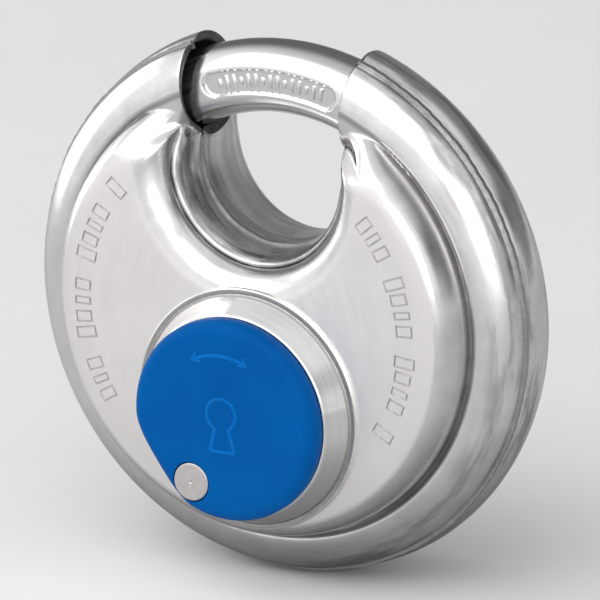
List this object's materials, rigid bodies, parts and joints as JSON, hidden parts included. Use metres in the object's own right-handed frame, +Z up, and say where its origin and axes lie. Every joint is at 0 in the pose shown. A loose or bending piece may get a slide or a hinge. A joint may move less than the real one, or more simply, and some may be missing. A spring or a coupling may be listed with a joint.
{
  "type": "disc padlock",
  "caption": "Round steel padlock with a curved shackle inside its rim and a swivelling cover over the keyway.",
  "frame": {"origin": "centre of the flat back face, on the disc's axis", "axes": "+Y from the front face to the back face, along the disc's axis; +Z up, towards the shackle; +X to the right from the front"},
  "size_m": [0.06, 0.0258, 0.0583],
  "materials": {
    "stainless": "polished",
    "hardened_steel": "satin",
    "zinc": "cast",
    "brass": "machined",
    "spring_steel": "drawn",
    "blue_plastic": "satin"
  },
  "bodies": {
    "case": {"front_shell": "stainless", "rear_shell": "stainless", "keyway_collar": "stainless", "cover_rivet": "stainless", "cylinder_housing": "zinc", "chamber_strip": "brass", "front_plate": "zinc", "rear_plate": "zinc", "left_post": "stainless", "right_post": "stainless", "driver_spring_1": "spring_steel", "driver_spring_2": "spring_steel", "driver_spring_3": "spring_steel", "driver_spring_4": "spring_steel"},
    "shackle": {"shackle": "hardened_steel"},
    "plug": {"cylinder_plug": "brass", "drive_pinion": "hardened_steel", "plug_ring": "stainless"},
    "cover": {"keyway_cover": "blue_plastic"},
    "driver_pin_1": {"driver_pin_1": "brass"},
    "key_pin_1": {"key_pin_1": "brass"},
    "driver_pin_2": {"driver_pin_2": "brass"},
    "key_pin_2": {"key_pin_2": "brass"},
    "driver_pin_3": {"driver_pin_3": "brass"},
    "key_pin_3": {"key_pin_3": "brass"},
    "driver_pin_4": {"driver_pin_4": "brass"},
    "key_pin_4": {"key_pin_4": "brass"}
  },
  "joints": [
    {"name": "shackle_turn", "type": "hinge", "parent": "case", "child": "shackle", "pos_m": [0, -0.01, 0], "axis": [0, 1, 0], "range_deg": [0, 60]},
    {"name": "plug_turn", "type": "hinge", "parent": "case", "child": "plug", "pos_m": [0, -0.01, -0.0095], "axis": [0, 1, 0], "range_deg": [0, 108]},
    {"name": "cover_turn", "type": "hinge", "parent": "case", "child": "cover", "pos_m": [-0.004, -0.01, -0.0165], "axis": [0, 1, 0], "range_deg": [-150, 150]},
    {"name": "driver_slide_1", "type": "slide", "parent": "case", "child": "driver_pin_1", "axis": [0, 0, 1], "range_m": [-0.0011, 0], "deforming": ["driver_spring_1"]},
    {"name": "key_pin_slide_1", "type": "slide", "parent": "plug", "child": "key_pin_1", "axis": [0, 0, 1], "range_m": [-0.0011, 0]},
    {"name": "driver_slide_2", "type": "slide", "parent": "case", "child": "driver_pin_2", "axis": [0, 0, 1], "range_m": [-0.0005, 0], "deforming": ["driver_spring_2"]},
    {"name": "key_pin_slide_2", "type": "slide", "parent": "plug", "child": "key_pin_2", "axis": [0, 0, 1], "range_m": [-0.0005, 0]},
    {"name": "driver_slide_3", "type": "slide", "parent": "case", "child": "driver_pin_3", "axis": [0, 0, 1], "range_m": [-0.0014, 0], "deforming": ["driver_spring_3"]},
    {"name": "key_pin_slide_3", "type": "slide", "parent": "plug", "child": "key_pin_3", "axis": [0, 0, 1], "range_m": [-0.0014, 0]},
    {"name": "driver_slide_4", "type": "slide", "parent": "case", "child": "driver_pin_4", "axis": [0, 0, 1], "range_m": [-0.0008, 0], "deforming": ["driver_spring_4"]},
    {"name": "key_pin_slide_4", "type": "slide", "parent": "plug", "child": "key_pin_4", "axis": [0, 0, 1], "range_m": [-0.0008, 0]}
  ],
  "couplings": [
    {"joint": "plug_turn", "follows": "shackle_turn", "ratio": 1.7917},
    {"joint": "key_pin_slide_1", "follows": "driver_slide_1", "ratio": 1},
    {"joint": "key_pin_slide_2", "follows": "driver_slide_2", "ratio": 1},
    {"joint": "key_pin_slide_3", "follows": "driver_slide_3", "ratio": 1},
    {"joint": "key_pin_slide_4", "follows": "driver_slide_4", "ratio": 1}
  ]
}
